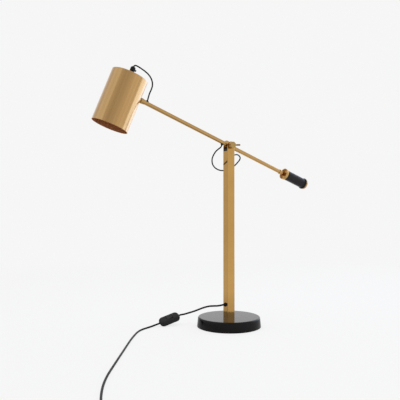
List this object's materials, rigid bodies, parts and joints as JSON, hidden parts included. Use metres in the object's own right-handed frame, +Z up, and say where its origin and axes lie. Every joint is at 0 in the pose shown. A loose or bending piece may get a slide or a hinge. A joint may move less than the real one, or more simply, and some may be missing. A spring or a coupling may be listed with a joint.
{
  "type": "adjustable task lamp",
  "caption": "Task lamp with a round weighted base, square column, counterweighted tilting arm, drum shade that turns on the arm, in-line rocker switch and a corded plug.",
  "frame": {"origin": "middle of the base's underside, on the floor", "axes": "+Z up along the column; the arm lies in the XZ plane with the shade on the -X side and the counterweight on the +X side; -Y is the side the lever nut is on"},
  "size_m": [0.7025, 0.5487, 0.6017],
  "materials": {
    "brass": "satin lacquered brass",
    "dark_brass": "satin, aged brass",
    "contact_brass": "plain",
    "black_base": "semi-gloss black enamel",
    "cast_iron": "raw casting",
    "felt": "felt",
    "steel": "zinc plated",
    "weight_black": "satin black",
    "friction_fibre": "matte",
    "black_plastic": "satin",
    "rubber": "matte",
    "cable": "satin",
    "arm_cord": "satin",
    "mains_cord": "satin",
    "switch_plastic": "fine texture",
    "rocker_plastic": "satin",
    "ceramic": "glazed porcelain",
    "bulb_cap": "plain",
    "bulb_glass": "clear",
    "filaments": "phosphor coating"
  },
  "bodies": {
    "stand": {"base_felt": "felt", "base_weight": "cast_iron", "base_cover": "black_base", "base_bolt": "steel", "base_washer": "steel", "column_foot": "steel", "column_tube": "brass", "column_stop": "black_plastic", "mains_grommet": "rubber", "column_grommet": "rubber", "lower_cable": "cable", "splice_block": "ceramic", "upper_cable": "cable", "pivot_bolt": "dark_brass", "pivot_washers": "brass", "friction_washers": "friction_fibre", "mains_cord": "mains_cord", "floor_cord": "mains_cord", "mains_coil": "mains_cord", "switch_lower": "switch_plastic", "switch_upper": "switch_plastic", "switch_contacts": "contact_brass", "switch_screws": "steel", "plug_body": "switch_plastic", "plug_relief": "rubber", "plug_pins": "contact_brass"},
    "arm": {"pivot_barrel": "brass", "arm_tube": "brass", "arm_grommet": "rubber", "head_grommet": "rubber", "arm_cable": "cable", "end_collar": "brass", "arm_plug": "steel", "swivel_bolt": "steel", "tail_ferrule": "brass", "weight_rod": "brass", "weight_cup": "brass", "weight_core": "steel", "weight_sleeve": "weight_black", "weight_flange": "weight_black", "weight_cap": "brass", "loop_cord": "arm_cord", "head_cord": "arm_cord"},
    "head": {"shade": "brass", "swivel_washers": "dark_brass", "nipple": "brass", "nipple_nut": "steel", "cord_grip": "black_plastic", "grip_screw": "black_plastic", "head_cable": "cable", "holder_cap": "black_plastic", "holder_body": "black_plastic", "holder_base": "ceramic", "holder_thread": "contact_brass", "bulb_cap": "bulb_cap", "bulb_glass": "bulb_glass", "bulb_filaments": "filaments"},
    "lever": {"lever_nut": "brass", "lever": "dark_brass"},
    "rocker": {"rocker": "rocker_plastic"}
  },
  "joints": [
    {"name": "arm_tilt", "type": "hinge", "parent": "stand", "child": "arm", "pos_m": [0, 0, 0.437], "axis": [0, 1, 0], "range_deg": [-34, 14], "deforming": ["loop_cord"]},
    {"name": "head_swivel", "type": "hinge", "parent": "arm", "child": "head", "pos_m": [-0.23274, 0, 0.52634], "axis": [0.9336, 0, -0.3584], "range_deg": [-90, 90], "deforming": ["head_cord"]},
    {"name": "lever_turn", "type": "hinge", "parent": "stand", "child": "lever", "pos_m": [0, -0.0158, 0.437], "axis": [0, 1, 0], "range_deg": [-90, 10]},
    {"name": "rocker_press", "type": "hinge", "parent": "stand", "child": "rocker", "pos_m": [-0.12112, 0.07954, 0.01836], "axis": [-0.108, 0.9063, 0.4086], "range_deg": [0, 14]}
  ]
}
